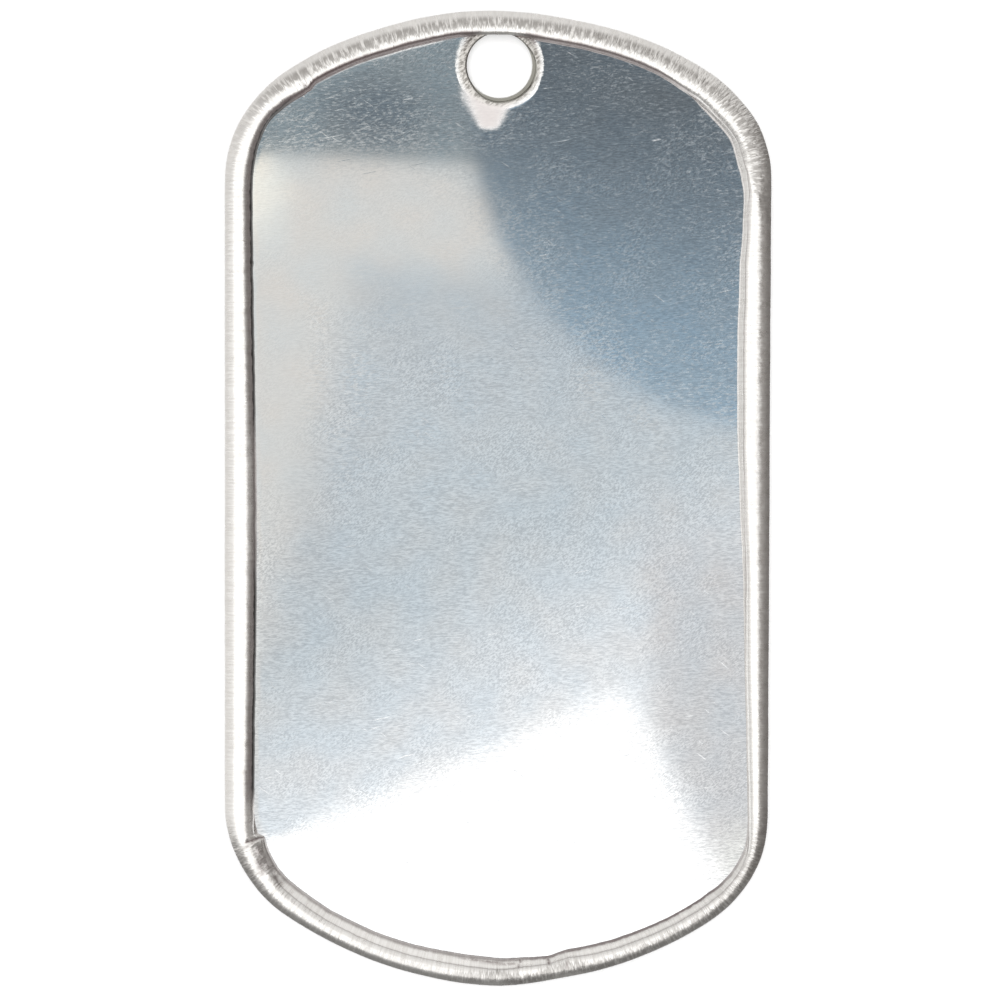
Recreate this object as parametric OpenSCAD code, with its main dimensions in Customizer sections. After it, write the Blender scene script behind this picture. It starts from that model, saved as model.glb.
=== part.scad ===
// Identification tag of thin steel sheet, with its edge rolled over into a hollow rim.
// It lies on its back: X runs across it, Y along it towards the hole, Z up out of its face.
// The origin is on the surface that it lies on, under the middle of the outline.

/* [Outline] */
// Length of the tag over its rim
tag_length = 50.8; // [44:0.1:60]
// Width of the tag over its rim
tag_width = 28.4; // [24:0.1:34]
// Radius of the shallow arc that closes each end
end_radius = 20.2; // [18:0.1:26]
// Radius of the corners between the ends and the straight sides
corner_radius = 6.8; // [4:0.1:9]
// Short straight run between an end's arc and a corner
end_run = 0.5; // [0.2:0.1:2]

/* [Sheet] */
// Thickness of the sheet
sheet_thickness = 0.4; // [0.3:0.05:0.5]
// Width of the hollow inside the rolled rim
roll_hollow = 0.6; // [0.3:0.05:1]
// Gap between the sheet's rolled-in edge and the face under it
seam_gap = 0.05; // [0.02:0.01:0.15]

/* [Hole] */
// Diameter of the punched hole
hole_diameter = 3.4; // [2:0.1:6]
// How far the hole reaches in under the rolled rim, which was folded over it
hole_under_rim = 0.15; // [0:0.05:0.25]
// Width of the sloped lip that the punch drew down round the hole
lip_width = 0.3; // [0.1:0.05:0.5]
// Depth of that lip at the hole's wall
lip_depth = 0.12; // [0.05:0.01:0.2]

/* [Hidden] */
steel = [0.72, 0.72, 0.73];
$fn = 72;
// Sides of the roll's own small circles
roll_facets = 24;
// A hair by which a corner's arc runs on into the straight side, so that the two fuse
joint_lap = 0.0002;

// The roll is a tube, and the rim is as wide and as high as it
roll_radius = sheet_thickness + roll_hollow / 2;
rim_width = 2 * roll_radius;

// Angle from +Y at which an end's arc gives way to the straight run and the corner
corner_x = tag_width / 2 - corner_radius;
radius_step = end_radius - corner_radius;
end_angle = asin(corner_x / norm([radius_step, end_run])) - atan(end_run / radius_step);
corner_angle = 90 - end_angle;

// Middles of the arcs along Y: an end's, then a corner's
end_y = tag_length / 2 - end_radius;
corner_y = end_y + radius_step * cos(end_angle) - end_run * sin(end_angle);

// Each piece of the rim carries a flat band inside its roll, and the panel's edge lies halfway across that band
flat_band = (corner_radius - roll_radius) / 2;
panel_inset = roll_radius + flat_band / 2;

// How far past its inner side the roll turns down before it stops short of the face
tuck_angle = asin((roll_radius - sheet_thickness - seam_gap) / roll_radius);

hole_y = tag_length / 2 - rim_width + hole_under_rim - hole_diameter / 2;

// The rim's section: the flat band as far as the roll's middle line, then the roll outwards, up and back over
module rolled_section(middle) {
    open_side = 2 * roll_radius;
    translate([middle - flat_band, 0]) square([flat_band, sheet_thickness]);
    translate([middle, roll_radius]) difference() {
        circle(r = roll_radius, $fn = roll_facets);
        circle(r = roll_hollow / 2, $fn = roll_facets);
        polygon([
            [0, 0],
            [-open_side * cos(tuck_angle), -open_side * sin(tuck_angle)],
            [-open_side, -open_side],
            [0, -open_side]
        ]);
    }
}

// A whole ring of the rim about the origin, which the modules below trim to an arc
module rolled_ring(radius) {
    rotate_extrude() rolled_section(radius - roll_radius);
}

// The rim drawn straight along -Y from the X axis, its outer edge that far out
module rolled_run(radius, length) {
    rotate([90, 0, 0]) linear_extrude(height = length) rolled_section(radius - roll_radius);
}

// Everything beyond the X axis, turned by the angle
module half_space(angle) {
    size = 2 * tag_length;
    rotate([0, 0, angle]) translate([-size / 2, 0, -size / 2]) cube(size);
}

// The end's arc about its own middle, from the X axis on
module end_arc() {
    intersection() {
        rolled_ring(end_radius);
        half_space(0);
    }
}

// The corner's arc about its own middle, from the X axis back round to the straight side and a hair past it
module corner_arc() {
    intersection() {
        rolled_ring(corner_radius);
        half_space(180);
        rotate([0, 0, -corner_angle]) translate([0, -joint_lap, 0]) half_space(0);
    }
}

// From the middle of an end round to the middle of the right side, each piece set out from the one before it
module quarter_rim() {
    intersection() {
        translate([0, end_y, 0]) rotate([0, 0, corner_angle]) {
            end_arc();
            rolled_run(end_radius, end_run);
            translate([radius_step, -end_run, 0]) {
                corner_arc();
                rotate([0, 0, -corner_angle]) rolled_run(corner_radius, tag_length / 2);
            }
        }
        half_space(0);
        half_space(-90);
    }
}

// The flat sheet inside the rim, its edge buried in the rim's flat band
module panel() {
    width = tag_width - 2 * panel_inset;
    linear_extrude(height = sheet_thickness) {
        square([width, 2 * corner_y], center = true);
        for (flip = [0, 1]) mirror([0, flip]) intersection() {
            translate([0, end_y]) circle(r = end_radius - panel_inset);
            translate([-width / 2, 0]) square([width, tag_length / 2]);
        }
    }
}

// Hole with a shallow cone over it, both cut in the flat sheet alone and stopping under the roll
module punched_hole() {
    top = sheet_thickness + seam_gap / 2;
    lip_bottom = sheet_thickness - lip_depth;
    lip_slope = lip_width / lip_depth;
    translate([0, hole_y, 0]) {
        translate([0, 0, -sheet_thickness]) cylinder(d = hole_diameter, h = top + sheet_thickness);
        translate([0, 0, lip_bottom]) cylinder(
            r1 = hole_diameter / 2,
            r2 = hole_diameter / 2 + lip_slope * (top - lip_bottom),
            h = top - lip_bottom
        );
    }
}

module tag() {
    color(steel) difference() {
        union() {
            panel();
            for (side = [0, 1], end = [0, 1]) mirror([side, 0, 0]) mirror([0, end, 0]) quarter_rim();
        }
        punched_hole();
    }
}

tag();
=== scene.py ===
# Identification tag of thin steel sheet with a rolled edge, lying on a pale floor.
# Lengths are written in millimetres and turned into metres where a mesh is made or the camera is placed.
import math
import bpy
import numpy as np
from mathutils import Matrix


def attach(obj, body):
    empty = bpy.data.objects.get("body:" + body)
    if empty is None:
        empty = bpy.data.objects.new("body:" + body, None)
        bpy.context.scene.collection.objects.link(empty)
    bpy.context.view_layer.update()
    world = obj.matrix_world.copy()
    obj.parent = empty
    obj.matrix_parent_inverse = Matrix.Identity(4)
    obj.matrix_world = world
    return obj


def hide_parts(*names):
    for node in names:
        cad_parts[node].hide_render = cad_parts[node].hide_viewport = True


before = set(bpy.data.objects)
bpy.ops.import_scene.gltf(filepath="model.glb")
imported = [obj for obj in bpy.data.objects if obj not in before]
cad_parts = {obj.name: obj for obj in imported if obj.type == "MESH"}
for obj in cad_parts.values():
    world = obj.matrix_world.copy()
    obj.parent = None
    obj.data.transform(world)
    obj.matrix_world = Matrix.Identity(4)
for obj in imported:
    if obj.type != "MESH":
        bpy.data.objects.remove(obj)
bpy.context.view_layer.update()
mm = 0.001


# a value at each place s along a closed line of that length, between given stations (place, value): half
# straight and half eased from each to the next
def alongStations(s, stations, length):
    places = np.array([station[0] for station in stations], float)
    values = np.array([station[1] for station in stations], float)
    places = np.concatenate([places[-1:] - length, places, places[:1] + length])
    values = np.concatenate([values[-1:], values, values[:1]])
    k = np.clip(np.searchsorted(places, s, side="right") - 1, 0, len(places) - 2)
    t = (s - places[k]) / (places[k + 1] - places[k])
    ease = t * t * (3 - 2 * t)
    return values[k] + (values[k + 1] - values[k]) * (0.5 * t + 0.5 * ease)


# smooth noise round a closed line: random knots about one wavelength apart, eased from each to the next
def loopNoise(s, length, wavelength, seed):
    count = max(4, int(round(length / wavelength)))
    knots = np.random.default_rng(seed).uniform(-1, 1, count)
    x = (s / length) % 1.0 * count
    k = np.floor(x).astype(int)
    t = x - k
    ease = t * t * (3 - 2 * t)
    return knots[k % count] * (1 - ease) + knots[(k + 1) % count] * ease


# 0 below low, 1 above high, eased between
def easeStep(x, low, high):
    t = np.clip((x - low) / (high - low), 0, 1)
    return t * t * (3 - 2 * t)


outlineSizes = dict(
    halfWidth=14.18,
    top=dict(middleX=0.0, endY=25.34, endRadius=20.9, cornerRadius=6.73, up=1),
    bottom=dict(middleX=0.1, endY=-25.3, endRadius=19.6, cornerRadius=6.95, up=-1),
    taper=0.17,          # how far the right side has come in by the lower corner
    taperFrom=15.5,
    taperTo=-17.0,
    hair=1e-9,           # overlap of one run with the next, so that no place falls between them
    # places round the edge where it swells (+) or is pressed in (-)
    swell=[(0, 0.0), (13, 0.0), (17.5, 0.02), (19.3, 0.0), (21.5, -0.12), (26, -0.05), (31, -0.12),
           (37, 0.02), (41, -0.03), (44.3, 0.02), (48, -0.06), (51, 0.0), (86, 0.0), (90, -0.16),
           (95.5, -0.2), (100, -0.14), (104.5, 0.0), (108, -0.15), (112, -0.08), (116, 0.02),
           (120.5, 0.1), (123, 0.0)],
)


# the outline: straight sides, and at each end a shallow arc between two corner arcs that it meets
# smoothly. Place s runs anticlockwise from the middle of the right side. Gives points, inward normals
# and the whole length
def outlineAt(s=None):
    o = outlineSizes
    hw = o["halfWidth"]
    corners = {}
    for name in ("top", "bottom"):
        e = o[name]
        middle = np.array([e["middleX"], e["endY"] - e["up"] * e["endRadius"]])
        reach = e["endRadius"] - e["cornerRadius"]
        for side in (1, -1):
            x = side * (hw - e["cornerRadius"])
            rise = e["up"] * math.sqrt(reach ** 2 - (x - middle[0]) ** 2)
            angle = math.atan2(rise, x - middle[0]) % (2 * math.pi)
            corners[name, side] = (np.array([x, middle[1] + rise]), angle)
        corners[name, 0] = (middle, None)
    # the arcs' middles, and the angles a1 to a4 at which the end arcs meet the corner arcs
    (topRight, a1), (topMiddle, _), (topLeft, a2) = (corners["top", side] for side in (1, 0, -1))
    (lowLeft, a3), (lowMiddle, _), (lowRight, a4) = (corners["bottom", side] for side in (-1, 0, 1))
    topCorner, topArc = o["top"]["cornerRadius"], o["top"]["endRadius"]
    lowCorner, lowArc = o["bottom"]["cornerRadius"], o["bottom"]["endRadius"]
    runs = [
        ("line", (hw, 0.0), (hw, topRight[1])),
        ("arc", topRight, topCorner, 0.0, a1),
        ("arc", topMiddle, topArc, a1, a2),
        ("arc", topLeft, topCorner, a2, math.pi),
        ("line", (-hw, topLeft[1]), (-hw, lowLeft[1])),
        ("arc", lowLeft, lowCorner, math.pi, a3),
        ("arc", lowMiddle, lowArc, a3, a4),
        ("arc", lowRight, lowCorner, a4, 2 * math.pi),
        ("line", (hw, lowRight[1]), (hw, 0.0)),
    ]
    lengths = [math.dist(r[1], r[2]) if r[0] == "line" else r[2] * (r[4] - r[3]) for r in runs]
    length = sum(lengths)
    if s is None:
        return length
    points, inward = np.zeros((len(s), 2)), np.zeros((len(s), 2))
    start = 0.0
    for run, runLength in zip(runs, lengths):
        here = (s >= start - o["hair"]) & (s <= start + runLength + o["hair"])
        t = ((s[here] - start) / runLength)[:, None]
        if run[0] == "line":
            a, b = np.array(run[1]), np.array(run[2])
            points[here] = a + (b - a) * t
            inward[here] = np.array([a[1] - b[1], b[0] - a[0]]) / runLength
        else:
            angle = run[3] + (run[4] - run[3]) * t
            ray = np.concatenate([np.cos(angle), np.sin(angle)], axis=1)
            points[here] = run[1] + run[2] * ray
            inward[here] = -ray
        start += runLength
    points -= inward * alongStations(s, o["swell"], length)[:, None]
    ramp = np.clip((o["taperFrom"] - points[:, 1]) / (o["taperFrom"] - o["taperTo"]), 0, 1)
    points[:, 0] -= np.where(points[:, 0] > 0, o["taper"] * ramp * points[:, 0] / hw, 0)
    return points, inward, length


tagSizes = dict(
    sheet=0.4,
    height=1.4,
    seamGap=0.05,
    holeX=0.08, holeY=22.53,
    holeRadius=1.7,
    # depth from the edge at which the rolled-in edge ends, by place round the outline
    seam=[(0, 1.56), (4, 1.70), (8, 1.71), (12, 1.61), (14, 1.46), (15.8, 1.41), (16.7, 1.55),
          (17.6, 1.69), (19.4, 1.65), (20.6, 1.72), (22.2, 1.72), (24, 1.47), (26, 1.34), (32, 1.32),
          (34.2, 1.21), (36, 1.22), (40, 1.28), (44, 1.26), (45.4, 1.28), (46.05, 1.48), (47.6, 1.37),
          (49.2, 1.27), (52, 1.43), (54, 1.39), (58, 1.42), (66, 1.55), (70, 1.61), (74, 1.59),
          (84, 1.50), (87.6, 1.47), (87.95, 1.74), (89, 1.62), (90.4, 1.52), (92, 1.52), (95, 1.42),
          (99, 1.42), (103, 1.47), (105.6, 1.38), (107.4, 1.23), (108.4, 1.38), (112, 1.28),
          (117, 1.21), (118, 1.10), (119.2, 1.00), (120.6, 0.96), (123, 1.05), (127, 1.14), (131, 1.24),
          (135, 1.34)],
    wobble=[(0.012, 1.1, 3), (0.010, 0.45, 4)],     # small waves of the seam: height, length and seed
    # width of the flattened lip inside the roll's crease
    lip=[(0, 0.2), (4, 0.31), (10, 0.3), (15, 0.2), (17, 0.32), (21.5, 0.24), (24, 0.0), (86, 0.0),
         (90, 0.34), (92, 0.50), (104, 0.54), (107.5, 0.34), (110, 0.42), (117, 0.38), (119.5, 0.26),
         (122, 0.06), (130, 0.06)],
    lipFall=(0.45, 0.55, 8),        # gentle and steep share of the lip's fall, and how steep
    openLip=0.3,                    # width of lip beside which the roll stands fully open
    shutAngle=-20, openBy=56,       # degrees at which a shut roll ends, and how much sooner an open one
    hollowLeast=0.08,               # half width of the roll's hollow at its tightest
    # how far the roll's crown leans inwards from the middle of the roll
    lean=[(0, 0.28), (15, 0.26), (20, 0.18), (25, 0.36), (45, 0.38), (49, 0.12), (55, 0.0), (86, 0.0),
          (90, 0.03), (102, 0.03), (106, 0.12), (110, 0.06), (124, 0.18)],
    # depth to which the dark streaks, a painted dark reflection, run in from the edge
    streaks=[(0, 0.5), (14, 0.6), (17, 1.1), (23, 1.05), (27, 0.95), (45, 0.95), (49, 0.7), (56, 0.3),
             (86, 0.3), (89, 0.5), (102, 0.6), (104.5, 0.85), (105.8, 0.6), (108.3, 0.8), (110, 0.6),
             (121, 0.65), (124, 0.45)],
    # how tumbled the rim's surface is, which also sets how strong the painted dark reflection streaks are
    tumbledAndStreakShade=[(0, 0.2), (14, 0.35), (17, 1.0), (46, 1.0), (52, 0.3), (86, 0.15), (89, 0.9), (93, 0.45),
             (101, 0.45), (104.5, 0.9), (109, 0.85), (112, 0.8), (121, 0.8), (124, 0.25)],
    # how far the face dips where it meets the rim
    pinch=[(0, 0.0), (37, 0.0), (39, 0.003), (47.5, 0.003), (49.5, 0.001), (60, 0.001), (84, 0.001),
           (90, 0.0), (130, 0.0)],
    # how dark the seam is with soot and painted shade
    sootAndShade=[(0, 0.1), (14, 0.15), (18, 0.3), (23, 0.4), (26, 0.8), (33.2, 0.8), (33.9, 0.0), (35.6, 0.0),
          (36.3, 0.85), (46, 0.9), (50, 0.7), (64, 0.66), (67, 0.6), (72, 0.6), (80, 0.64),
          (84.8, 0.75), (86.2, 0.3), (90, 0.5), (104, 0.6), (107, 0.8), (117, 0.9), (119.5, 0.6),
          (122, 0.25), (130, 0.1)],
    # how far the soot and painted shade reach back over the roll from the seam
    sootAndShadeReach=[(0, 0.13), (24, 0.14), (27, 0.24), (45, 0.22), (49, 0.40), (56, 0.46), (64, 0.44),
               (68, 0.26), (72, 0.30), (76, 0.42), (84, 0.44), (87, 0.16), (91, 0.24), (103, 0.24),
               (106, 0.15), (118, 0.12)],
    # painted shade in folds: (place, depth) at both ends, darkness and width in mm
    foldShadePatches=[
        ((87.9, 0.8), (87.95, 1.7), 1.0, 0.07),
        ((88.2, 0.65), (88.1, 1.1), 0.5, 0.07),
        ((88.5, 1.2), (90.1, 1.3), 0.5, 0.24),
        ((89.3, 0.9), (90.0, 0.75), 0.5, 0.16),
        ((90.6, 1.15), (91.2, 1.1), 0.6, 0.08),
        ((84.0, 1.15), (85.4, 1.25), 0.5, 0.16),
        ((101, 1.42), (105.4, 1.12), 0.6, 0.05),
        ((103, 1.25), (106.2, 1.3), 0.6, 0.04),
        ((105.6, 0.95), (105.8, 1.35), 0.8, 0.06),
        ((107.3, 0.9), (107.2, 1.3), 0.9, 0.08),
        ((108.2, 0.5), (108.3, 0.85), 0.5, 0.08),
        ((46.05, 1.2), (46.0, 1.4), 0.9, 0.08),
    ],
    # folds, cracks and nicks in the roll: (place, depth) at both ends, rise in mm and width in mm
    folds=[
        ((15.2, 0.72), (17.3, 1.38), 0.05, 0.13),
        ((16.4, 0.95), (18.6, 1.5), -0.035, 0.2),
        ((19.3, 0.9), (19.6, 1.6), 0.03, 0.16),
        ((27.2, 0.55), (28.3, 0.95), 0.02, 0.1),
        ((46.0, 0.9), (46.1, 1.5), -0.06, 0.12),
        ((57.55, 1.05), (57.6, 1.5), 0.03, 0.06),
        ((87.85, 0.95), (87.95, 1.8), -0.16, 0.1),
        ((88.25, 0.6), (88.1, 1.4), 0.06, 0.1),
        ((88.6, 1.05), (89.5, 1.15), -0.08, 0.26),
        ((89.7, 0.75), (90.6, 1.15), 0.05, 0.12),
        ((105.7, 0.55), (105.5, 0.85), -0.03, 0.14),
        ((107.6, 0.6), (107.2, 1.3), -0.06, 0.13),
        ((108.5, 0.5), (108.3, 0.8), -0.03, 0.14),
        ((118.0, 0.85), (119.3, 0.72), 0.03, 0.1),
        ((132.8, 0.3), (133.2, 0.6), 0.012, 0.07),
    ],
    foldFrom=(0.3, 0.7),            # heights on the roll between which the folds come in
    waves=[(0.8, 5), (3.1, 6)],     # small waves of the whole rim: length and seed
    waveHeight=0.006, waveSink=0.012,
    wallBevel=0.02,                 # how far the hole's wall leans out at its top, all round
    wallLean=0.24,                  # and how much more at its most, towards a bearing in degrees
    wallLeanTo=-55, wallLeanEase=(-0.2, 0.95),
    wallCurve=(0.15, 1.1),          # shares of the wall's height between which it leans out
    backRise=0.012,                 # how far the back stands off the floor in its middle
    satinTo=2.02, satinFade=0.15,   # radius of the satin ring round the hole, and how far it fades out
    columns=800,
    hollowSteps=8, lipSteps=8, rollSteps=34,
    faceRingSteps=12, faceSteps=22, holeSteps=18, wallSteps=4, underSteps=12,
    ringReach=1.9,          # the face's rows keep to the outline's normals this far in from the rim
    holeReach=1.7,          # and lie close together this far out from the hole
    # how unevenly the rows between are spread: at least, how much more at most, and width at half of that
    rowStretch=(0.4, 1.5, 6),
    # stretches of the outline with more columns: from, to, how many times as dense
    dense=[(14, 24, 1.8), (44.5, 47.5, 1.8), (86.8, 91.2, 3.0), (101, 109.5, 1.8), (116.5, 121, 1.6)],
    denseEase=1,
    placeSteps=20001,
)


# how near each place and depth is to a short line, as a bell of the given width
def nearLine(place, depth, start, end, width):
    a, b = np.array(start), np.array(end)
    run = b - a
    along = np.clip(((place - a[0]) * run[0] + (depth - a[1]) * run[1]) / run.dot(run), 0, 1)
    far = np.hypot(place - a[0] - run[0] * along, depth - a[1] - run[1] * along)
    return np.exp(-(far / width) ** 2)


# height of the folds, each a ridge or groove along its own short line, over small waves of the rim
def foldRise(s, depth, length):
    t = tagSizes
    waves = sum(loopNoise(s, length, wave, seed) for wave, seed in t["waves"])
    rise = (t["waveHeight"] * waves - t["waveSink"])[:, None] * np.ones(depth.shape)
    for start, end, height, width in t["folds"]:
        rise += height * nearLine(s[:, None], depth, start, end, width)
    return rise


# the section of the rolled rim at each place, as depth from the edge and height, one column a step:
# an ellipse inside for the hollow, a lip that slopes from the crease to the seam, an ellipse outside
def rimSection(s, length):
    t = tagSizes
    half = t["height"] / 2
    lowest = 1.5 * np.pi        # angle of the section's lowest point
    wobble = sum(height * loopNoise(s, length, wave, seed) for height, wave, seed in t["wobble"])
    seam = alongStations(s, t["seam"], length) + wobble
    lip = alongStations(s, t["lip"], length)
    opened = easeStep(lip, 0.0, t["openLip"])
    crease = seam - lip
    endAngle = np.radians(t["shutAngle"] + t["openBy"] * opened)
    rollHalf = crease / (1 + np.cos(endAngle))
    hollowHalf = np.maximum(rollHalf - t["sheet"], t["hollowLeast"])
    seamHeight = t["sheet"] + t["seamGap"]

    turn = np.linspace(0, 1, t["hollowSteps"])
    angle = -np.pi / 2 + (endAngle[:, None] - lowest) * turn
    hollowDepth = rollHalf[:, None] + hollowHalf[:, None] * np.cos(angle)
    hollowZ = half + (half - t["sheet"]) * np.sin(angle)

    down = np.linspace(0, 1, t["lipSteps"])[None, :-1]
    gentle, steep, power = t["lipFall"]
    creaseZ = half + half * np.sin(endAngle)
    lipDepth = seam[:, None] - lip[:, None] * down ** 2
    fall = gentle * (1 - down ** 2) + steep * (1 - down ** 2) ** power
    lipZ = creaseZ[:, None] - (creaseZ - seamHeight)[:, None] * fall

    turn = np.linspace(0, 1, t["rollSteps"])
    angle = endAngle[:, None] + (lowest - endAngle[:, None]) * turn
    lean = alongStations(s, t["lean"], length)
    rollDepth = rollHalf[:, None] * (1 + np.cos(angle)) + lean[:, None] * np.clip(np.sin(angle), 0, 1) ** 2
    rollZ = half + half * np.sin(angle)
    normalD, normalZ = np.cos(angle) * half, np.sin(angle) * rollHalf[:, None]
    norm = np.hypot(normalD, normalZ)
    rise = foldRise(s, rollDepth, length) * easeStep(rollZ, *t["foldFrom"])
    rollDepth = rollDepth + rise * normalD / norm
    rollZ = np.minimum(rollZ + rise * normalZ / norm, t["height"])
    lipZ = lipZ + foldRise(s, lipDepth, length) * (down > 0)
    return seam, crease, rollHalf, (hollowDepth, hollowZ), (lipDepth, lipZ), (rollDepth, rollZ)


faceSizes = dict(
    wave=0.005,                     # height of the sheet's long waves, and their lengths over a radian
    waveX=6.3, waveY=8.1, wavePhase=0.4,
    slantX=9.0, slantY=5.2, slantShare=0.6,
    pinchReach=0.10,
    burr=0.032, burrAt=1.90, burrWidth=0.12,
    lowerRight=(-42, 26),           # bearing and reach, in degrees, of where the burr is torn up highest
    below=(-100, 40),               # and of where it lies furthest out
    burrMore=0.8, burrRagged=0.35, burrOutRight=0.14, burrOutBelow=0.16, burrWider=0.02,
    teeth=(19, 31, 53), teethSlant=(16, 21), teethPhase=1, toothHeight=0.5, fineTooth=0.2,
    smear=0.004, smearX=-0.55, smearTo=3.4, smearTip=0.42, smearTaper=0.5, smearWidest=1.3,
    smearStart=(0.3, 1.3), smearEnd=(-0.1, 0.3),
    # middle, reach both ways and rise
    dents=[(-11.2, -17.6, 2.0, 1.0, 0.002), (6.0, -18.5, 2.5, 1.5, 0.0015)],
)


# share of the smear below the hole, a soft tongue of dragged metal that narrows to a blunt tip
def smearShare(dx, dy):
    f = faceSizes
    halfWidth = f["smearTip"] + f["smearTaper"] * (dy + f["smearTo"])
    halfWidth = np.clip(halfWidth, f["smearTip"], f["smearWidest"])
    across = np.exp(-((dx - f["smearX"]) / halfWidth) ** 4)
    return across * easeStep(-dy, *f["smearStart"]) * easeStep(dy + f["smearTo"], *f["smearEnd"])


# a bell about a bearing, with its middle and reach in degrees
def bearingBell(bearing, middle, reach):
    return np.exp(-((bearing - math.radians(middle)) / math.radians(reach)) ** 2)


# height of the burr that the punch raised round the hole: a crest at a radius, higher and torn at the
# lower right, ragged with waves of three kinds
def burrRise(fromHole, bearing):
    f = faceSizes
    lowerRight = bearingBell(bearing, *f["lowerRight"])
    below = bearingBell(bearing, *f["below"])
    coarse, middling, fine = f["teeth"]
    out, back = f["teethSlant"]
    ragged = f["toothHeight"] * np.sin(bearing * coarse + fromHole * out)
    ragged = ragged * np.sin(bearing * middling - fromHole * back + f["teethPhase"])
    ragged = ragged + f["fineTooth"] * np.sin(bearing * fine)
    crest = f["burr"] * (1 + f["burrMore"] * lowerRight * (1 + ragged) + f["burrRagged"] * ragged)
    crestAt = f["burrAt"] + f["burrOutRight"] * lowerRight + f["burrOutBelow"] * below
    return crest * np.exp(-((fromHole - crestAt) / (f["burrWidth"] + f["burrWider"] * below)) ** 2)


# height of the face over the sheet's own level: long shallow waves of the rolled sheet, a pinch beside
# the rim, the burr round the hole, the smear below it, which thins out downwards, and shallow dents
def faceRise(x, y, pastSeam, pinch):
    f = faceSizes
    straight = np.sin(x / f["waveX"] + f["wavePhase"]) * np.cos(y / f["waveY"])
    slanted = np.sin(y / f["slantY"] + x / f["slantX"])
    rise = f["wave"] * (straight + f["slantShare"] * slanted)
    rise -= pinch * np.exp(-(np.maximum(pastSeam, 0) / f["pinchReach"]) ** 2)
    dx, dy = x - tagSizes["holeX"], y - tagSizes["holeY"]
    rise += burrRise(np.hypot(dx, dy), np.arctan2(dy, dx))
    slope = np.clip((f["smearTo"] + dy) / (f["smearTo"] - f["burrAt"]), 0, 1)
    rise += smearShare(dx, dy) * f["smear"] * slope
    for px, py, wide, tall, height in f["dents"]:
        rise += height * np.exp(-((x - px) / wide) ** 2 - ((y - py) / tall) ** 2)
    return rise


# the places of the columns: evenly spread, but closer together in the stretches that hold folds
def columnPlaces(length):
    t = tagSizes
    fine = np.linspace(0, length, t["placeSteps"])
    ease = t["denseEase"]
    density = np.ones_like(fine)
    for start, end, times in t["dense"]:
        density += (times - 1) * easeStep(fine, start - ease, start) * easeStep(-fine, -end - ease, -end)
    total = np.concatenate([[0], np.cumsum((density[1:] + density[:-1]) / 2)])
    return np.interp(np.arange(t["columns"]) / t["columns"] * total[-1], total, fine)


# points at each depth in from the edge along the outline's normals
def atDepth(edge, inward, depth):
    return edge[:, None, :] + inward[:, None, :] * depth[:, :, None]


# how deep each point lies in from its own column's place on the edge
def depthOf(xy, edge, inward):
    return ((xy - edge[:, None, :]) * inward[:, None, :]).sum(axis=2)


# each column's ray from the hole towards the edge, and how far out the hole's wall is at its top
def holeRays(hole, edge):
    t = tagSizes
    ray = edge - hole
    ray /= np.hypot(ray[:, 0], ray[:, 1])[:, None]
    bearing = np.arctan2(ray[:, 1], ray[:, 0])
    slope = easeStep(np.cos(bearing - math.radians(t["wallLeanTo"])), *t["wallLeanEase"])
    return ray, t["holeRadius"] + t["wallBevel"] + t["wallLean"] * slope


# the face's rows from the hole out to the rim: close together round the hole, spread over the panel on
# a tanh curve, and beside the rim along the outline's normals
def faceRows(hole, wallEdge, edge, inward, rollHalf):
    t = tagSizes
    rimStart = edge + inward * rollHalf[:, None]
    gap = np.hypot(*(rimStart - hole - wallEdge).T)
    ringDepth = t["ringReach"] * gap / (gap + t["ringReach"])
    ringRows = np.linspace(1, 0, t["faceRingSteps"], endpoint=False)[None, :] * ringDepth[:, None]
    ring = atDepth(edge, inward, rollHalf[:, None] + ringRows)
    ringInner = edge + inward * (rollHalf + ringDepth)[:, None]

    left = np.hypot(*(ringInner - hole - wallEdge).T)
    holeTop = hole + wallEdge
    reach = (t["holeReach"] / (left + t["holeReach"]))[:, None, None]
    near = reach * np.linspace(0, 1, t["holeSteps"], endpoint=False)[None, :, None]
    aroundHole = holeTop[:, None, :] * (1 - near) + ringInner[:, None, :] * near

    least, more, far = t["rowStretch"]
    stretch = (least + more * left / (left + far))[:, None]
    row = np.linspace(-1, 1, t["faceSteps"])[None, :]
    share = (0.5 + 0.5 * np.tanh(stretch * row) / np.tanh(stretch))[:, :-1, None]
    panelStart = holeTop * (1 - reach[:, 0]) + ringInner * reach[:, 0]
    panel = panelStart[:, None, :] * (1 - share) + ringInner[:, None, :] * share
    return np.concatenate([aroundHole, panel, ring], axis=1)


# each vertex's place round the rim, as a point on a circle so that the pattern closes, and how far it
# lies across the section from the given row, measured level
def aroundRim(s, length, xy, fromRow):
    step = np.hypot(*np.moveaxis(np.diff(xy, axis=1), 2, 0))
    across = np.concatenate([np.zeros((len(s), 1)), np.cumsum(step, axis=1)], axis=1)
    across = across - across[:, fromRow:fromRow + 1]
    turn = (s / length * 2 * np.pi)[:, None] * np.ones((1, across.shape[1]))
    radius = length / (2 * np.pi)
    return np.stack([radius * np.cos(turn), radius * np.sin(turn), across], axis=2)


# 1 in the section's rows from start up to end, 0 in the others
def markRows(shape, start, end):
    marks = np.zeros(shape)
    marks[:, start:end] = 1
    return marks


# one value, or one vector, for each vertex of a mesh
def addAttribute(mesh, name, values, kind="FLOAT"):
    attribute = mesh.attributes.new(name, kind, "POINT")
    field = "vector" if kind == "FLOAT_VECTOR" else "value"
    attribute.data.foreach_set(field, np.ascontiguousarray(values, float).ravel())


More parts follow.
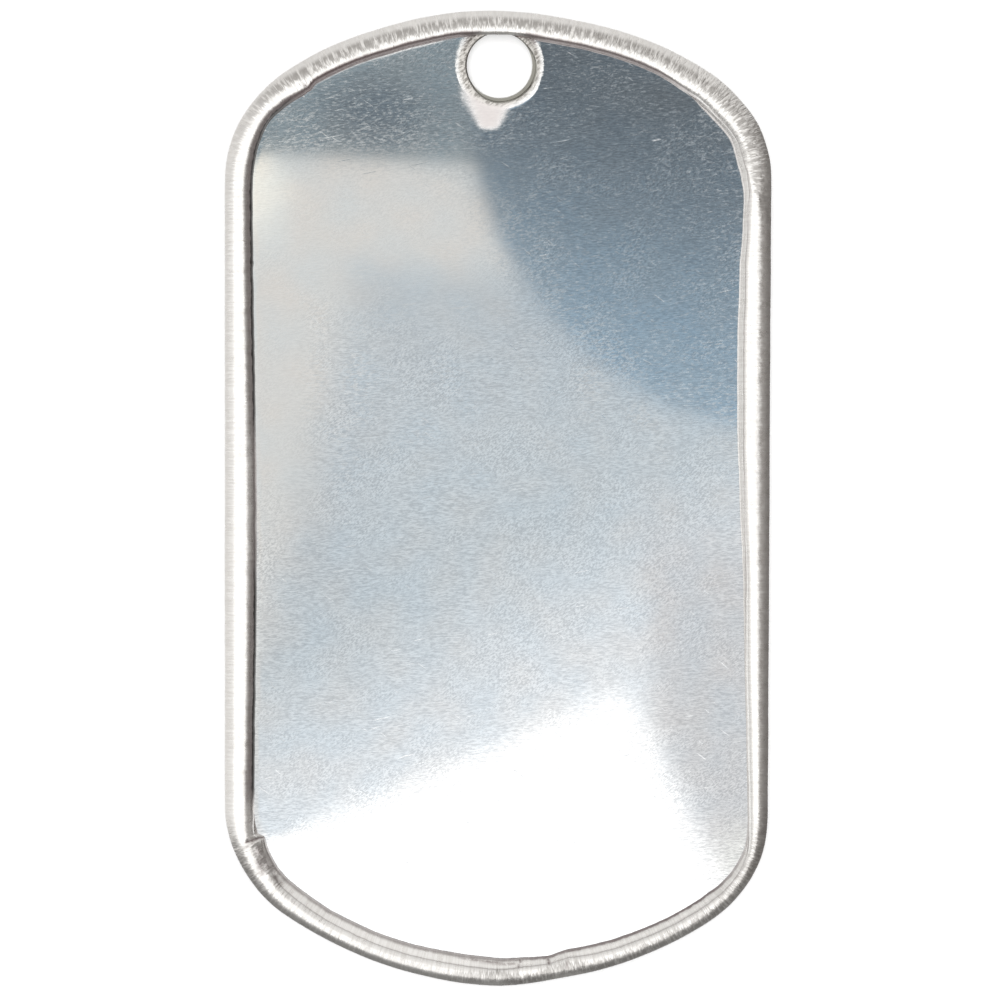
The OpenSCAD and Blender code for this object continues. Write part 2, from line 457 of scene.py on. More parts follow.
# a grid of points, closed both ways, as a mesh of quads whose faces point outwards
def gridMesh(name, grid):
    columns, rows = grid.shape[:2]
    i, j = np.meshgrid(np.arange(columns), np.arange(rows), indexing="ij")
    iNext, jNext = (i + 1) % columns, (j + 1) % rows
    corners = [i * rows + j, i * rows + jNext, iNext * rows + jNext, iNext * rows + j]
    quads = np.stack(corners, axis=2).reshape(-1, 4)
    points = grid.reshape(-1, 3)
    a, b, c, d = (points[quads[:, k]] for k in range(4))
    volume = (np.cross(b - a, c - a) * a).sum() + (np.cross(c - a, d - a) * a).sum()
    if volume < 0:
        quads = quads[:, ::-1]
    mesh = bpy.data.meshes.new(name)
    mesh.vertices.add(len(points))
    mesh.vertices.foreach_set("co", points.ravel())
    mesh.loops.add(quads.size)
    mesh.loops.foreach_set("vertex_index", quads.ravel())
    mesh.polygons.add(len(quads))
    mesh.polygons.foreach_set("loop_start", np.arange(0, quads.size, 4))
    mesh.polygons.foreach_set("use_smooth", np.ones(len(quads), bool))
    mesh.update(calc_edges=True)
    mesh.validate()
    return mesh


# the whole sheet as one closed grid. Columns run round the outline and rows run round the sheet's
# section: up the hole's wall, out over the face, round the hollow, over the rolled rim and back under
# the sheet to the hole
def makeTag():
    t = tagSizes
    s = columnPlaces(outlineAt())
    edge, inward, length = outlineAt(s)
    seam, crease, rollHalf, hollow, lip, roll = rimSection(s, length)
    hole = np.array([t["holeX"], t["holeY"]])
    ray, wallTop = holeRays(hole, edge)

    face = faceRows(hole, ray * wallTop[:, None], edge, inward, rollHalf)
    pinch = alongStations(s, t["pinch"], length)[:, None]
    facePastSeam = depthOf(face, edge, inward) - seam[:, None]
    faceZ = t["sheet"] + faceRise(face[:, :, 0], face[:, :, 1], facePastSeam, pinch)

    up = np.linspace(0, 1, t["wallSteps"], endpoint=False)[None, :]
    wallRadius = t["holeRadius"] + (wallTop - t["holeRadius"])[:, None] * easeStep(up, *t["wallCurve"])
    wall = hole + ray[:, None, :] * wallRadius[:, :, None]
    wallZ = faceZ[:, :1] * up

    share = np.linspace(0, 1, t["underSteps"] + 1)[None, 1:-1, None]
    rimStart = edge + inward * rollHalf[:, None]
    holeLow = hole + ray * t["holeRadius"]
    under = rimStart[:, None, :] * (1 - share) + holeLow[:, None, :] * share
    underZ = t["backRise"] * np.sin(np.pi * share[:, :, 0]) ** 2 * np.ones((len(s), 1))

    rim = [(atDepth(edge, inward, depth), height) for depth, height in (hollow, lip, roll)]
    parts = [(wall, wallZ), (face, faceZ), *rim, (under, underZ)]
    xy = np.concatenate([part[0] for part in parts], axis=1)
    z = np.concatenate([part[1] for part in parts], axis=1)
    mesh = gridMesh("tag_sheet", np.concatenate([xy, z[:, :, None]], axis=2) * mm)

    # what the steel's pattern reads: places, how far in each vertex lies, and the share of each finish and
    # of the painted shade
    wallRows, faceEnd = t["wallSteps"], t["wallSteps"] + face.shape[1]
    rimFrom = faceEnd + hollow[0].shape[1]
    rimTo = rimFrom + lip[0].shape[1] + roll[0].shape[1]
    depth = depthOf(xy, edge, inward)
    onRim = markRows(z.shape, rimFrom, rimTo)
    onFace = markRows(z.shape, wallRows + 1, faceEnd)
    dx, dy = xy[:, :, 0] - hole[0], xy[:, :, 1] - hole[1]
    pastSatin = np.maximum(np.hypot(dx, dy) - t["satinTo"], 0)
    addAttribute(mesh, "aroundRim", aroundRim(s, length, xy, rimFrom), "FLOAT_VECTOR")
    addAttribute(mesh, "pastSeam", depth - seam[:, None])
    addAttribute(mesh, "pastCrease", depth - crease[:, None])
    addAttribute(mesh, "onRim", onRim)
    addAttribute(mesh, "onWall", markRows(z.shape, 0, wallRows + 1))
    addAttribute(mesh, "pastStreaks", depth - alongStations(s, t["streaks"], length)[:, None])
    addAttribute(mesh, "holeLip", onFace * np.exp(-(pastSatin / t["satinFade"]) ** 2))
    addAttribute(mesh, "smear", onFace * smearShare(dx, dy))
    for name, key in (("tumbledAndStreakShade", "tumbledAndStreakShade"), ("sootAndShadeShare", "sootAndShade"), ("sootAndShadeReach", "sootAndShadeReach")):
        addAttribute(mesh, name, alongStations(s, t[key], length)[:, None] * np.ones(z.shape))
    # the painted shade in the folds, one bell along each listed line
    patches = sum(dark * nearLine(s[:, None], depth, start, end, width)
                  for start, end, dark, width in t["foldShadePatches"])
    addAttribute(mesh, "foldShade", patches * onRim)
    print("tag sheet:", len(mesh.vertices), "vertices,", 2 * len(mesh.polygons), "triangles,",
          round(length, 2), "mm round")
    return mesh


# a short way to write shader nodes: each call makes one node or a few, sets its values and joins its
# inputs
class NodeSheet:
    def __init__(self, tree):
        self.tree = tree
        tree.nodes.clear()

    # a node of that kind, with its inputs by name or number and its settings by name
    def add(self, kind, inputs=(), **settings):
        node = self.tree.nodes.new(kind)
        for key, value in settings.items():
            setattr(node, key, value)
        for key, value in dict(inputs).items():
            self.feed(node.inputs[key], value)
        return node

    # joins an input to another node's output, or sets it to a plain value
    def feed(self, socket, value):
        if isinstance(value, bpy.types.NodeSocket):
            self.tree.links.new(value, socket)
        else:
            socket.default_value = value

    # any sum of two plain values, and below it the four that are used most
    def math(self, operation, a, b=0.0):
        return self.add("ShaderNodeMath", {0: a, 1: b}, operation=operation).outputs[0]

    def plus(self, a, b):
        return self.math("ADD", a, b)

    def minus(self, a, b):
        return self.math("SUBTRACT", a, b)

    def times(self, a, b):
        return self.math("MULTIPLY", a, b)

    def larger(self, a, b):
        return self.math("MAXIMUM", a, b)

    # noise moved to lie about zero, and made that large from end to end
    def swing(self, noise, size):
        return self.times(self.minus(noise, 0.5), size)

    # any sum of two vectors, which gives a plain value for a length, a distance or a dot product
    def vector(self, operation, a, b=(0, 0, 0)):
        node = self.add("ShaderNodeVectorMath", {0: a, 1: b}, operation=operation)
        return node.outputs["Value" if operation in ("LENGTH", "DISTANCE", "DOT_PRODUCT") else "Vector"]

    # a vector's parts along X, Y and Z
    def split(self, vector):
        return self.add("ShaderNodeSeparateXYZ", {0: vector}).outputs[:]

    # smooth noise from 0 to 1
    def noise(self, coordinates, scale, detail=2.0, roughness=0.5):
        inputs = {"Vector": coordinates, "Scale": scale, "Detail": detail, "Roughness": roughness}
        return self.add("ShaderNodeTexNoise", inputs).outputs["Fac"]

    # noise that comes out that long along its own axes, in mm, turned by an angle about Z and moved along
    def pattern(self, coordinates, size, angle=0.0, shift=0.0, detail=2.0, roughness=0.5):
        inputs = {"Vector": coordinates, "Scale": size, "Rotation": (0, 0, math.radians(angle)),
                  "Location": (shift, shift, 0)}
        drawn = self.add("ShaderNodeMapping", inputs, vector_type="TEXTURE").outputs[0]
        return self.noise(drawn, 1.0, detail, roughness)

    # eases from start to end between two limits, which may run either way
    def step(self, value, low, high, start=0.0, end=1.0):
        inputs = {"Value": value, "From Min": low, "From Max": high, "To Min": start, "To Max": end}
        return self.add("ShaderNodeMapRange", inputs, interpolation_type="SMOOTHSTEP").outputs[0]

    # colour a where the share is 0 and b where it is 1
    def mix(self, share, a, b):
        return self.add("ShaderNodeMix", {0: share, 6: a, 7: b}, data_type="RGBA").outputs[2]

    # the same for plain values
    def blend(self, share, a, b):
        return self.add("ShaderNodeMix", {0: share, 2: a, 3: b}, data_type="FLOAT").outputs[0]

    # one of the mesh's own values
    def attribute(self, name, output="Fac"):
        return self.add("ShaderNodeAttribute", attribute_name=name).outputs[output]


# Two numbers are the limits between which something comes in, in mm or in levels of noise. Two more say
# how strong it is at each
steelLook = dict(
    face=(0.83, 0.83, 0.82, 1),
    grainDark=(0.67, 0.675, 0.68, 1),
    grainLight=(0.97, 0.97, 0.965, 1),
    # painted dark reflection on the rim's streaks
    rimStreakShade=(0.40, 0.385, 0.37, 1),
    rim=(0.83, 0.815, 0.795, 1),
    rimWorn=(0.93, 0.92, 0.905, 1),
    # soot and painted shade in the seam
    sootAndShade=(0.15, 0.104, 0.104, 1),
    # near-black painted shadow in the seam's gap
    seamShadowLine=(0.03, 0.027, 0.026, 1),
    wall=(0.36, 0.355, 0.32, 1),
    lip=(0.66, 0.64, 0.61, 1),
    lipDark=(0.30, 0.285, 0.265, 1),
    smear=(0.63, 0.585, 0.575, 1),
    faceRoughness=0.026,
    pitRoughness=0.05,
    scratchRoughness=0.06,
    lipRoughness=0.42,
    rimRoughness=0.30,
    tumbleRoughness=0.25,
    sootRoughness=0.6,
    grainBump=0.00003,      # heights in mm
    scratchBump=0.0002,
    lipBump=0.04,
    striaBump=0.010,
    raggedBump=0.065,
    tumbleBump=0.012,
    creaseCalm=(-0.10, 0.05, 1.0, 0.4),     # the bumps die down past the crease
    # face
    patches=dict(size=(3.2, 2.4, 1)),
    fineGrain=dict(size=(0.27, 0.058, 1), angle=3, roughness=0.65),
    slantedGrain=dict(size=(0.13, 0.068, 1), angle=30, detail=1.0, roughness=0.65),
    slantedIn=(0.42, 0.62),
    grainIn=(0.30, 0.70),
    pitNoise=dict(size=(0.24, 0.08, 1), angle=6, detail=1.0, roughness=0.6),
    pitPatch=0.3, pitsIn=(0.56, 0.90), pitsY=(-3, 6, 0.25, 1.2),
    scratches=[dict(size=(1.3, 0.10, 1), angle=12, shift=3.0, detail=0.0),
               dict(size=(0.9, 0.10, 1), angle=-37, shift=11.0, detail=0.0)],
    scratchesIn=(0.82, 0.90),
    wornX=(3, -1), wornY=(6, 12),
    wornLeftX=(-8, -11), wornLeftY=(-4, 3),
    wornTop=(18.6, 17.6),
    wornShare=0.75,
    # satin round the hole and in the smear
    lipGrain=dict(size=(0.24, 0.10, 1), angle=35, detail=1.0, roughness=0.65),
    lipIn=(0.36, 0.60),
    smearMost=0.85,
    # rim
    stria=dict(size=(0.09, 0.09, 1.4), roughness=0.6),
    ragged=dict(size=(0.16, 0.16, 0.45), shift=5.0, roughness=0.6),
    tumble=dict(size=(0.5, 0.5, 0.35), shift=9.0, detail=1.0, roughness=0.6),
    striaIn=(0.38, 0.62),
    streakRagged=0.8, streaksIn=(0.62, 0.98),
    streakSwing=0.9, streaksEnd=(0.06, -0.12),
    streaksFaint=(-0.72, -0.42, 0.25, 1.0),
    # soot and painted shade in the seam, painted shade in the crease and the folds
    brokenNoise=(3.0, 1.0, 0.7), brokenBy=0.10,     # scale, detail and roughness
    sootIn=(-1.0, -0.3), rimIn=(0.5, 0.9), sootEnd=(0.03, 0.01),
    lineIn=(-0.10, -0.04), lineReach=(0.24, 0.40),
    creaseBroken=0.5, creaseIn=(0.05, 0.0), creaseFrom=(-0.03, -0.12), creaseShare=0.4,
    flecks=dict(size=(0.22, 0.22, 0.16), detail=1.0, roughness=0.6), flecksIn=(0.15, 0.5),
)


# face: hairlines drawn out along X, slanted in patches and fainter where the upper left is worn smooth,
# tiny pits that lie in patches, and scratches, which are thin crests of noise drawn out in two
# directions
def faceMarks(sheet, inMm):
    look = steelLook
    patch = sheet.pattern(inMm, **look["patches"])
    fine = sheet.pattern(inMm, **look["fineGrain"])
    slanted = sheet.pattern(inMm, **look["slantedGrain"])
    grain = sheet.blend(sheet.step(patch, *look["slantedIn"]), fine, slanted)
    pit = sheet.pattern(inMm, **look["pitNoise"])
    pits = sheet.step(sheet.plus(pit, sheet.times(patch, look["pitPatch"])), *look["pitsIn"])
    scratch = sheet.larger(*[sheet.step(sheet.pattern(inMm, **line), *look["scratchesIn"])
                             for line in look["scratches"]])
    x, y = sheet.split(inMm)[:2]
    worn = sheet.times(sheet.step(x, *look["wornX"]), sheet.step(y, *look["wornY"]))
    wornLeft = sheet.times(sheet.step(x, *look["wornLeftX"]), sheet.step(y, *look["wornLeftY"]))
    worn = sheet.times(sheet.larger(worn, wornLeft), sheet.step(y, *look["wornTop"]))
    grainy = sheet.minus(1.0, sheet.times(worn, look["wornShare"]))
    pits = sheet.times(sheet.times(pits, grainy), sheet.step(y, *look["pitsY"]))
    return fine, grain, grainy, pits, sheet.times(scratch, grainy)


# painted dark reflection: dark streaks that run in over the rim from its edge, ragged at their ends and
# fainter close to the edge
def rimPaintedStreaks(sheet, stria, ragged):
    look = steelLook
    pastStreaks = sheet.attribute("pastStreaks")
    streaks = sheet.step(sheet.plus(stria, sheet.times(ragged, look["streakRagged"])), *look["streaksIn"])
    within = sheet.plus(pastStreaks, sheet.swing(stria, look["streakSwing"]))
    streaks = sheet.times(streaks, sheet.step(within, *look["streaksEnd"]))
    faint = sheet.step(pastStreaks, *look["streaksFaint"])
    return sheet.times(streaks, sheet.times(sheet.attribute("tumbledAndStreakShade"), faint))


# soot and painted shade: a dark band that follows the seam, partly soot and partly painted shade where the
# roll turns down into the seam, broken by noise, a fainter painted shade in the crease and flecks of
# painted shade in the folds. Gives the soot and shade, and the black painted shadow line in it where the
# band is wide
def seamSootAndShade(sheet, around, onRim):
    look = steelLook
    pastSeam, pastCrease = sheet.attribute("pastSeam"), sheet.attribute("pastCrease")
    sootAndShadeReach = sheet.attribute("sootAndShadeReach")
    broken = sheet.swing(sheet.noise(around, *look["brokenNoise"]), look["brokenBy"])
    inward = sheet.plus(pastSeam, broken)
    behind = sheet.step(sheet.math("DIVIDE", inward, sootAndShadeReach), *look["sootIn"])
    beside = sheet.larger(sheet.step(onRim, *look["rimIn"]), sheet.step(pastSeam, *look["sootEnd"]))
    sootAndShade = sheet.times(sheet.times(behind, beside), sheet.attribute("sootAndShadeShare"))
    # the painted shadow line in the seam's gap, where the band is wide
    line = sheet.times(sheet.step(inward, *look["lineIn"]), beside)
    line = sheet.times(line, sheet.step(sootAndShadeReach, *look["lineReach"]))
    # a fainter painted shade in the crease, broken by noise
    nearCrease = sheet.math("ABSOLUTE", sheet.plus(pastCrease, sheet.times(broken, look["creaseBroken"])))
    creaseFrom = sheet.step(pastSeam, *look["creaseFrom"])
    crease = sheet.times(sheet.step(nearCrease, *look["creaseIn"]), creaseFrom)
    crease = sheet.times(crease, sheet.times(onRim, look["creaseShare"]))
    # flecks of painted shade in the folds
    flecks = sheet.step(sheet.pattern(around, **look["flecks"]), *look["flecksIn"])
    flecks = sheet.times(sheet.attribute("foldShade"), flecks)
    return sheet.larger(sheet.larger(sootAndShade, crease), flecks), line


# brushed sheet: fine grain along the tag's width, specks and short scratches on the face, stretch marks
# across the rim with painted dark reflection streaks, satin round the hole, dark soot and painted shade in
# the seam, and painted shade in the crease and the folds
def steelMaterial():
    look = steelLook
    material = bpy.data.materials.new("rolled_steel")
    material.use_nodes = True
    sheet = NodeSheet(material.node_tree)
    inMetres = sheet.add("ShaderNodeTexCoord").outputs["Object"]
    inMm = sheet.vector("MULTIPLY", inMetres, (1 / mm, 1 / mm, 1 / mm))
    around = sheet.attribute("aroundRim", "Vector")
    onRim, holeLip = sheet.attribute("onRim"), sheet.attribute("holeLip")
    smear = sheet.times(sheet.attribute("smear"), look["smearMost"])
    fine, grain, grainy, pits, scratch = faceMarks(sheet, inMm)
    lipGrain = sheet.pattern(inMm, **look["lipGrain"])
    stria, ragged, tumble = [sheet.pattern(around, **look[name]) for name in ("stria", "ragged", "tumble")]
    sootAndShade, seamShadowLine = seamSootAndShade(sheet, around, onRim)

    faceColour = sheet.mix(sheet.step(grain, *look["grainIn"]), look["grainDark"], look["grainLight"])
    faceColour = sheet.mix(grainy, look["face"], faceColour)
    faceColour = sheet.mix(smear, faceColour, look["smear"])
    lipColour = sheet.mix(sheet.step(lipGrain, *look["lipIn"]), look["lipDark"], look["lip"])
    faceColour = sheet.mix(holeLip, faceColour, lipColour)
    faceColour = sheet.mix(sheet.attribute("onWall"), faceColour, look["wall"])
    rimColour = sheet.mix(sheet.step(stria, *look["striaIn"]), look["rim"], look["rimWorn"])
    # the rim's dark streaks: a painted dark reflection
    rimColour = sheet.mix(rimPaintedStreaks(sheet, stria, ragged), rimColour, look["rimStreakShade"])
    colour = sheet.mix(onRim, faceColour, rimColour)
    # soot and painted shade in the seam, painted shade in the crease and the folds
    colour = sheet.mix(sootAndShade, colour, look["sootAndShade"])
    # the painted shadow line in the seam's gap
    colour = sheet.mix(seamShadowLine, colour, look["seamShadowLine"])

    faceRough = sheet.plus(look["faceRoughness"], sheet.times(pits, look["pitRoughness"]))
    faceRough = sheet.plus(faceRough, sheet.times(scratch, look["scratchRoughness"]))
    faceRough = sheet.plus(faceRough, sheet.times(sheet.larger(holeLip, smear), look["lipRoughness"]))
    rimRough = sheet.plus(look["rimRoughness"], sheet.swing(tumble, look["tumbleRoughness"]))
    rough = sheet.blend(onRim, faceRough, rimRough)
    rough = sheet.larger(rough, sheet.times(sootAndShade, look["sootRoughness"]))

    faceHeight = sheet.times(fine, look["grainBump"])
    faceHeight = sheet.minus(faceHeight, sheet.times(scratch, look["scratchBump"]))
    faceHeight = sheet.plus(faceHeight, sheet.times(sheet.times(holeLip, lipGrain), look["lipBump"]))
    torn = sheet.times(ragged, sheet.attribute("tumbledAndStreakShade"))
    rimHeight = sheet.plus(sheet.times(stria, look["striaBump"]), sheet.times(torn, look["raggedBump"]))
    rimHeight = sheet.plus(rimHeight, sheet.times(tumble, look["tumbleBump"]))
    rimHeight = sheet.times(rimHeight, sheet.step(sheet.attribute("pastCrease"), *look["creaseCalm"]))
    height = sheet.blend(onRim, faceHeight, rimHeight)
    bump = sheet.add("ShaderNodeBump", {"Height": height, "Distance": mm, "Strength": 1.0}).outputs[0]

    inputs = {"Base Color": colour, "Metallic": 1.0, "Roughness": rough, "Normal": bump}
    shader = sheet.add("ShaderNodeBsdfPrincipled", inputs)
    sheet.add("ShaderNodeOutputMaterial", {"Surface": shader.outputs[0]})
    print("steel made")
    return material


viewSizes = dict(
    scaleLength=50.8, scalePixels=979.0,  # a length at the rim's middle height, and the pixels it takes up
    tagMiddle=(498.0, 498.5),             # pixel of the tag's middle in a frame of 1000 pixels
    framePixels=1000,
    lens=210.0,
    sensor=36.0,
    clip=(0.005, 10.0),                   # nearest and farthest that the camera sees, in metres
)


# the camera looks straight down, at the height where the frame is as wide as the photograph's
def makeCamera():
    v = viewSizes
    mmPerPixel = v["scaleLength"] / v["scalePixels"]
    camera = bpy.data.objects.new("camera", bpy.data.cameras.new("camera"))
    bpy.context.collection.objects.link(camera)
    camera.data.lens, camera.data.sensor_width = v["lens"], v["sensor"]
    frameWidth = v["framePixels"] * mmPerPixel
    height = frameWidth * v["lens"] / v["sensor"] + tagSizes["height"] / 2
    x = (v["framePixels"] / 2 - v["tagMiddle"][0]) * mmPerPixel
    y = (v["tagMiddle"][1] - v["framePixels"] / 2) * mmPerPixel
    camera.location = (x * mm, y * mm, height * mm)
    camera.data.clip_start, camera.data.clip_end = v["clip"]
    bpy.context.scene.camera = camera
    print("camera:", round(height, 1), "mm up,", round(x, 2), round(y, 2), "mm off the middle")
    return height


floorLook = dict(
    half=900,
    below=0.01,
    colour=(0.93, 0.93, 0.93, 1),
    roughness=0.9,
)


# a wide pale square a hair below the tag, which the steel doesn't mirror
def makeFloor():
    f = floorLook
    half, z = f["half"], -f["below"]
    corners = [(-half, -half, z), (half, -half, z), (half, half, z), (-half, half, z)]
    mesh = bpy.data.meshes.new("floor")
    mesh.from_pydata([tuple(value * mm for value in corner) for corner in corners], [], [(0, 1, 2, 3)])
    floor = bpy.data.objects.new("floor", mesh)
    bpy.context.collection.objects.link(floor)
    material = bpy.data.materials.new("pale_floor")
    material.use_nodes = True
    sheet = NodeSheet(material.node_tree)
    inputs = {"Base Color": f["colour"], "Roughness": f["roughness"], "Specular IOR Level": 0.0}
    shader = sheet.add("ShaderNodeBsdfPrincipled", inputs)
    sheet.add("ShaderNodeOutputMaterial", {"Surface": shader.outputs[0]})
    mesh.materials.append(material)
    floor.visible_glossy = False
    print("floor made")


# What the tag mirrors. It is laid out in mm on the tag's face, where each part of it is seen from the
# camera: a pale field, a bright window towards the lower end, a dark round screen at the upper right
# and a dark band above. A pair of numbers is the limits between which something comes in, and a pair of
# points is a line
roomLook = dict(
    floorLight=(1.6, 1.6, 1.6, 1),
    field=(0.64, 0.70, 0.74, 1),
    fieldDeep=(0.575, 0.628, 0.67, 1),
    fieldRight=(0.725, 0.74, 0.76, 1),
    fieldLow=(0.915, 0.955, 0.99, 1),
    warm=(0.785, 0.785, 0.77, 1),
    glow=(0.96, 0.965, 0.93, 1),
    white=(1.5, 1.5, 1.5, 1),
    screenTop=(0.148, 0.176, 0.200, 1),
    screenLow=(0.350, 0.470, 0.575, 1),
    band=(0.28, 0.335, 0.365, 1),
    bandDark=(0.18, 0.215, 0.245, 1),
    surround=(1.35, 1.34, 1.32, 1),
    cream=(1.05, 1.035, 0.96, 1),
    overhead=(1.15, 1.14, 1.12, 1),
    leftEnd=(0.73, 0.72, 0.71, 1),
    rightEnd=(0.29, 0.27, 0.255, 1),
    lowerEnd=(0.42, 0.415, 0.405, 1),
    upperEnd=(0.88, 0.865, 0.845, 1),
    horizon=(0.06, 0.055, 0.05, 1),
    tintWarm=(1.035, 1.0, 0.975, 1),
    tintCool=(0.96, 1.0, 1.03, 1),
    # noises have a scale and a detail
    tintNoise=(0.55, 2.0), tintIn=(0.35, 0.65),
    edgeNoise=(0.35, 2.0), edgeSwing=3.0,       # waves of the soft edges
    # where the field's zones begin and end
    lowSlant=0.45, lowIn=(1, 13),
    clouds=dict(size=(7.0, 2.6, 1), angle=-48), cloudsIn=(0.32, 0.62, 0.4, 1.0),
    warmLine=((-12.3, -5.3), (-8.0, 11.9)), warmIn=(-2.2, 1.2),
    warmTop=(10.6, 13.2), warmTopWave=0.4,
    deepBeside=(-6.5, -0.5), deepBesideY=(-9, -1),
    deepUnderX=(10, 1), deepUnderY=(0.5, 10),
    rightLine=((7.4, -5.3), (8.6, -16.0)), rightIn=(-0.9, 0.9), rightY=(2, -5),
    creamX=(-10.4, -12.6), creamY=(11.5, 15.5),
    # shapes over the field. A middle, a corner and the window's left and right are points
    bandEdge=17.9, bandSoft=0.25,
    spotMiddle=(-6.0, 20.4), spotShape=(0.25, 0.4), spotIn=(1.2, 0.2),
    screenMiddle=(14.9, 20.0), screenRadius=15.9, screenSoft=0.5,
    screenSlant=0.25, screenIn=(24.5, 6.5),
    glowMiddle=(13.2, -19.3), glowIn=(3.4, 0.8),
    windowCorner=(6.4, -10.4), windowLeft=(-12.3, -17.4), windowRight=(11.8, -20.2), windowIn=(-1, 1),
    # beyond the tag's sides and ends
    pastLeft=(-15, -19), pastRight=(15, 19), pastLower=(-26, -30), pastUpper=(26, 32), farUpper=(280, 400),
    # towards the horizon, by the direction's parts along X and Y and by how far it leans from straight up
    rightX=(-0.2, 0.6), lowerY=(-0.3, -0.85),
    horizonIn=(1.6, 8.0, 0.0, 0.45),
    paleUp=(0.4, 0.9), paleLeft=(-0.4, -0.8), paleY=(-0.5, -0.2),
    endsSooner=(-0.3, -0.8, 0.0, 0.45), endsIn=(0.85, 1.05),
    lowestRise=0.02,
)


# how far a point lies on the left of the line from a to b, in mm
def leftOf(sheet, point, a, b):
    run = math.dist(a, b)
    normal = ((a[1] - b[1]) / run, (b[0] - a[0]) / run, 0)
    offset = normal[0] * a[0] + normal[1] * a[1]
    return sheet.minus(sheet.vector("DOT_PRODUCT", point, normal), offset)


# the pale field: lighter below, deeper beside and under a warm zone, and of another tone at the right
def fieldColour(sheet, onTag, x, y):
    look = roomLook
    edgeWave = sheet.swing(sheet.noise(onTag, *look["edgeNoise"]), look["edgeSwing"])
    waved = sheet.plus(y, edgeWave)
    down = sheet.minus(sheet.times(x, look["lowSlant"]), waved)
    colour = sheet.mix(sheet.step(down, *look["lowIn"]), look["field"], look["fieldLow"])
    warmSide = sheet.minus(leftOf(sheet, onTag, *look["warmLine"]), edgeWave)
    beside = sheet.times(sheet.step(warmSide, *look["deepBeside"]), sheet.step(waved, *look["deepBesideY"]))
    under = sheet.times(sheet.step(waved, *look["deepUnderY"]), sheet.step(x, *look["deepUnderX"]))
    clouds = sheet.step(sheet.pattern(onTag, **look["clouds"]), *look["cloudsIn"])
    colour = sheet.mix(sheet.times(sheet.larger(beside, under), clouds), colour, look["fieldDeep"])
    right = sheet.step(leftOf(sheet, onTag, *look["rightLine"]), *look["rightIn"])
    colour = sheet.mix(sheet.times(right, sheet.step(waved, *look["rightY"])), colour, look["fieldRight"])
    warmTop = sheet.step(sheet.plus(y, sheet.times(edgeWave, look["warmTopWave"])), *look["warmTop"])
    colour = sheet.mix(sheet.larger(sheet.step(warmSide, *look["warmIn"]), warmTop), colour, look["warm"])
    cream = sheet.step(sheet.plus(x, edgeWave), *look["creamX"])
    cream = sheet.times(cream, sheet.step(y, *look["creamY"]))
    return sheet.mix(cream, colour, look["cream"])


# what lies over the field: the dark band, the round screen, a fine tint, a glow and the window
def roomShapes(sheet, onTag, x, y, colour):
    look = roomLook
    fromSpot = sheet.vector("SUBTRACT", onTag, (*look["spotMiddle"], 0))
    spot = sheet.vector("LENGTH", sheet.vector("MULTIPLY", fromSpot, (*look["spotShape"], 0)))
    band = sheet.mix(sheet.step(spot, *look["spotIn"]), look["band"], look["bandDark"])
    bandEdge, soft = look["bandEdge"], look["bandSoft"]
    colour = sheet.mix(sheet.step(y, bandEdge - soft, bandEdge + soft), colour, band)
    away = sheet.vector("DISTANCE", onTag, (*look["screenMiddle"], 0))
    slant = sheet.plus(y, sheet.times(x, look["screenSlant"]))
    screen = sheet.mix(sheet.step(slant, *look["screenIn"]), look["screenTop"], look["screenLow"])
    radius, soft = look["screenRadius"], look["screenSoft"]
    colour = sheet.mix(sheet.step(away, radius + soft, radius - soft), colour, screen)
    tintShare = sheet.step(sheet.noise(onTag, *look["tintNoise"]), *look["tintIn"])
    colour = sheet.vector("MULTIPLY", colour, sheet.mix(tintShare, look["tintWarm"], look["tintCool"]))
    fromGlow = sheet.vector("DISTANCE", onTag, (*look["glowMiddle"], 0))
    colour = sheet.mix(sheet.step(fromGlow, *look["glowIn"]), colour, look["glow"])
    corner, left, right = look["windowCorner"], look["windowLeft"], look["windowRight"]
    window = sheet.times(sheet.step(leftOf(sheet, onTag, corner, left), *look["windowIn"]),
                         sheet.step(leftOf(sheet, onTag, right, corner), *look["windowIn"]))
    return sheet.mix(window, colour, look["white"])


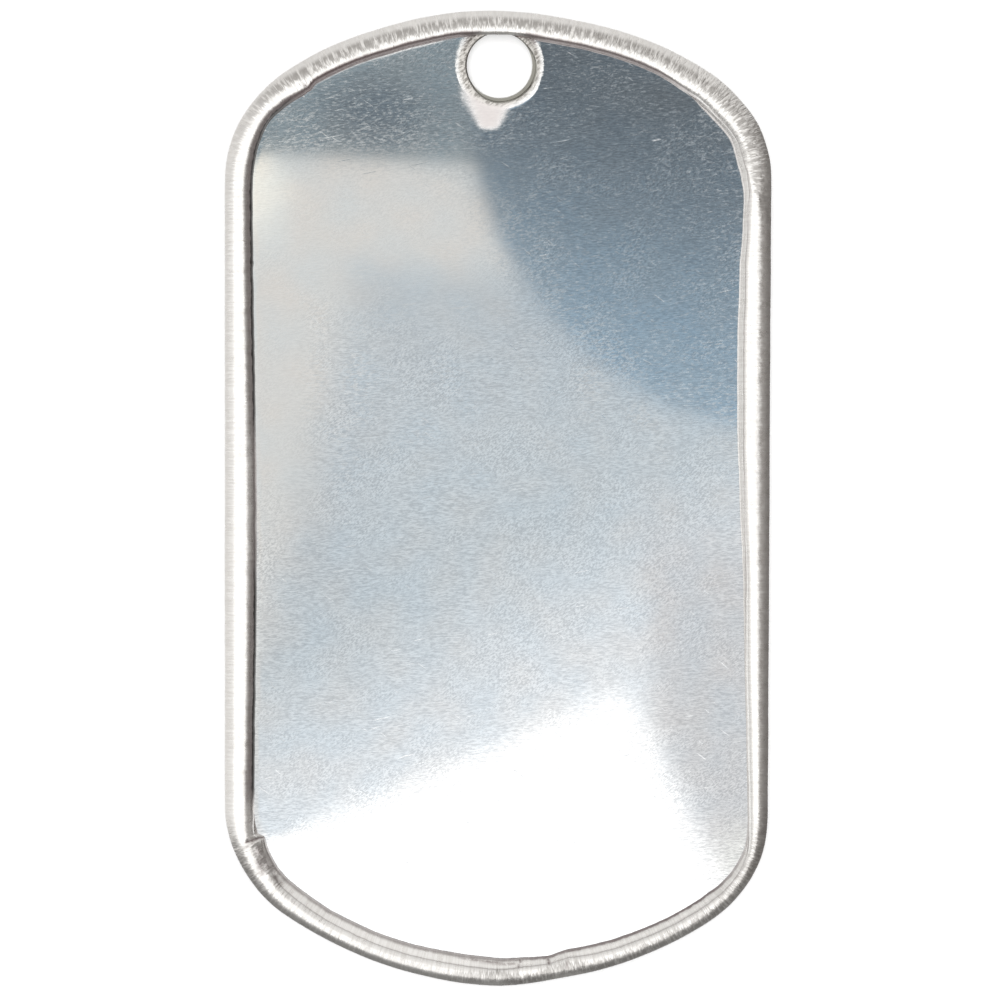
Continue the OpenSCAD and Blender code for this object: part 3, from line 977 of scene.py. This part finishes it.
# beyond what the face shows, as the rim sees it, and towards the horizon: paler on the left and above,
# dark on the right and below
def roomAround(sheet, lean, onTag, x, y, colour):
    look = roomLook
    colour = sheet.mix(sheet.step(x, *look["pastLeft"]), colour, look["surround"])
    colour = sheet.mix(sheet.step(x, *look["pastRight"]), colour, look["surround"])
    colour = sheet.mix(sheet.step(y, *look["pastLower"]), colour, look["surround"])
    colour = sheet.mix(sheet.step(y, *look["pastUpper"]), colour, look["overhead"])
    colour = sheet.mix(sheet.step(y, *look["farUpper"]), colour, look["upperEnd"])
    levelX, levelY = sheet.split(sheet.vector("NORMALIZE", onTag))[:2]
    end = sheet.mix(sheet.step(levelX, *look["rightX"]), look["leftEnd"], look["rightEnd"])
    end = sheet.mix(sheet.step(levelY, *look["lowerY"]), end, look["lowerEnd"])
    steep = sheet.vector("LENGTH", lean)
    end = sheet.mix(sheet.step(steep, *look["horizonIn"]), end, look["horizon"])
    pale = sheet.larger(sheet.step(levelY, *look["paleUp"]), sheet.step(levelX, *look["paleLeft"]))
    end = sheet.mix(sheet.times(pale, sheet.step(levelY, *look["paleY"])), end, look["upperEnd"])
    starts = sheet.minus(steep, sheet.step(levelY, *look["endsSooner"]))
    return sheet.mix(sheet.step(starts, *look["endsIn"]), colour, end)


# the room as the world's light: mirror rays see its picture, and all others see one plain light.
# A direction's place on the tag is its lean from straight up times the camera's height
def makeRoom(cameraHeight):
    look = roomLook
    world = bpy.data.worlds.new("room")
    bpy.context.scene.world = world
    world.use_nodes = True
    sheet = NodeSheet(world.node_tree)
    goX, goY, goZ = sheet.split(sheet.add("ShaderNodeTexCoord").outputs["Generated"])
    rise = sheet.larger(goZ, look["lowestRise"])
    leanX, leanY = sheet.math("DIVIDE", goX, rise), sheet.math("DIVIDE", goY, rise)
    lean = sheet.add("ShaderNodeCombineXYZ", {0: leanX, 1: leanY, 2: 0.0}).outputs[0]
    onTag = sheet.vector("MULTIPLY", lean, (cameraHeight, cameraHeight, 0))
    x, y = sheet.split(onTag)[:2]
    colour = fieldColour(sheet, onTag, x, y)
    colour = roomShapes(sheet, onTag, x, y, colour)
    colour = roomAround(sheet, lean, onTag, x, y, colour)
    plain = sheet.add("ShaderNodeBackground", {"Color": look["floorLight"]}).outputs[0]
    mirrored = sheet.add("ShaderNodeBackground", {"Color": colour}).outputs[0]
    glossy = sheet.add("ShaderNodeLightPath").outputs["Is Glossy Ray"]
    both = sheet.add("ShaderNodeMixShader", {0: glossy, 1: plain, 2: mirrored})
    sheet.add("ShaderNodeOutputWorld", {"Surface": both.outputs[0]})
    print("room made")


# the stage first, then the tag, which stands in for the solid's one node
def makeScene():
    bpy.context.scene.view_settings.view_transform = "Standard"
    cameraHeight = makeCamera()
    makeFloor()
    makeRoom(cameraHeight)
    mesh = makeTag()
    mesh.materials.append(steelMaterial())
    tagSheet = bpy.data.objects.new("tag_sheet", mesh)
    bpy.context.collection.objects.link(tagSheet)
    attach(tagSheet, "root")
    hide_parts("tag")


makeScene()
bpy.context.view_layer.update()
